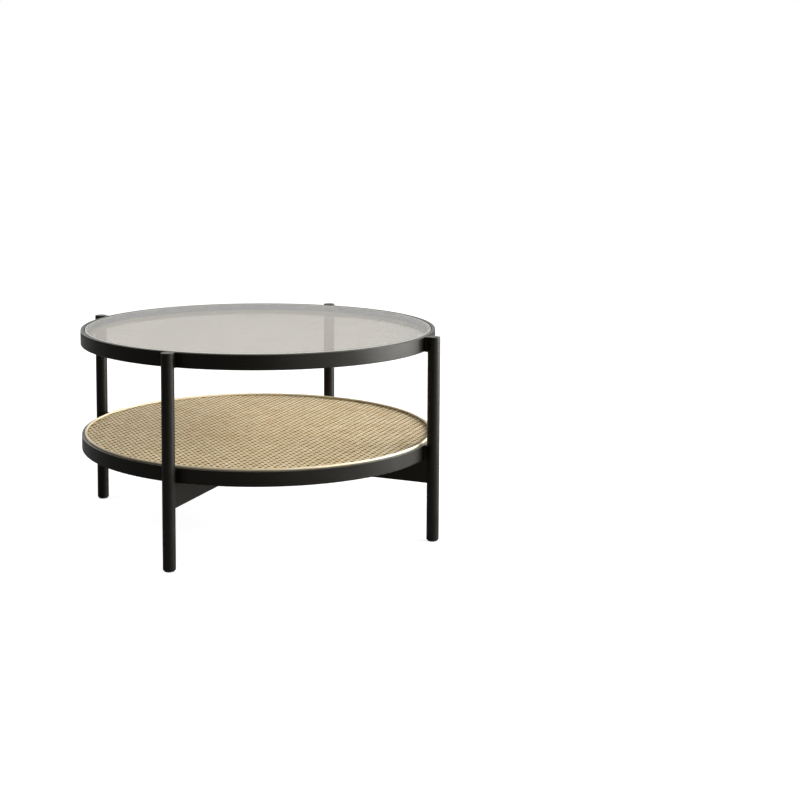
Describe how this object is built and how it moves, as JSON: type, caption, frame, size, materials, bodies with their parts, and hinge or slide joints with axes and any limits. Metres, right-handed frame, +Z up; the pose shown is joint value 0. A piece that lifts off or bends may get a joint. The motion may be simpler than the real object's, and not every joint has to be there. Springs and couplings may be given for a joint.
{
  "type": "coffee table",
  "caption": "Round coffee table on straight round legs, with a loose glass top over open woven cane and a lower shelf faced in woven cane, both set in black wooden hoops.",
  "frame": {"origin": "centre of the table on the floor plane, under the glides", "axes": "+Z up; the legs stand on the X and Y axes, with leg_right on +X, leg_back on +Y, leg_left on -X and leg_front on -Y"},
  "size_m": [0.864, 0.864, 0.447],
  "materials": {
    "black_wood": "satin black paint on wood",
    "clear_glass": "clear tempered glass, polished edge",
    "clear_rubber": "clear silicone",
    "woven_cane": "natural woven cane, lightly glossy strands",
    "reed_bead": "natural reed, smooth",
    "stained_board": "dark stained plywood, matt",
    "zinc_steel": "zinc plated",
    "black_steel": "black oxide",
    "insert_brass": "plain",
    "glide_plastic": "matt black"
  },
  "bodies": {
    "frame": {"upper_hoop": "black_wood", "upper_ledge_ring": "black_wood", "lower_hoop": "black_wood", "lower_ledge_ring": "black_wood", "glass_pads": "clear_rubber", "upper_cane_panel": "woven_cane", "retaining_ring": "black_wood", "retaining_screws": "zinc_steel", "shelf_board": "stained_board", "shelf_cane_panel": "woven_cane", "shelf_bead": "reed_bead", "shelf_screws": "zinc_steel", "cross_board_left_right": "black_wood", "cross_board_front_back": "black_wood", "cross_lap_screw": "zinc_steel", "leg_front": "black_wood", "leg_right": "black_wood", "leg_back": "black_wood", "leg_left": "black_wood", "glide_front": "glide_plastic", "glide_right": "glide_plastic", "glide_back": "glide_plastic", "glide_left": "glide_plastic", "upper_spacer_front": "black_wood", "upper_spacer_right": "black_wood", "upper_spacer_back": "black_wood", "upper_spacer_left": "black_wood", "lower_spacer_front": "black_wood", "lower_spacer_right": "black_wood", "lower_spacer_back": "black_wood", "lower_spacer_left": "black_wood", "upper_hoop_bolts": "black_steel", "lower_hoop_bolts": "black_steel", "leg_inserts": "insert_brass", "board_dowel_bolts": "zinc_steel", "barrel_nuts": "zinc_steel"},
    "glass": {"glass_top": "clear_glass"}
  },
  "joints": [
    {"name": "glass_lift", "type": "slide", "parent": "frame", "child": "glass", "axis": [0, 0, 1], "range_m": [0, 0.15]}
  ]
}
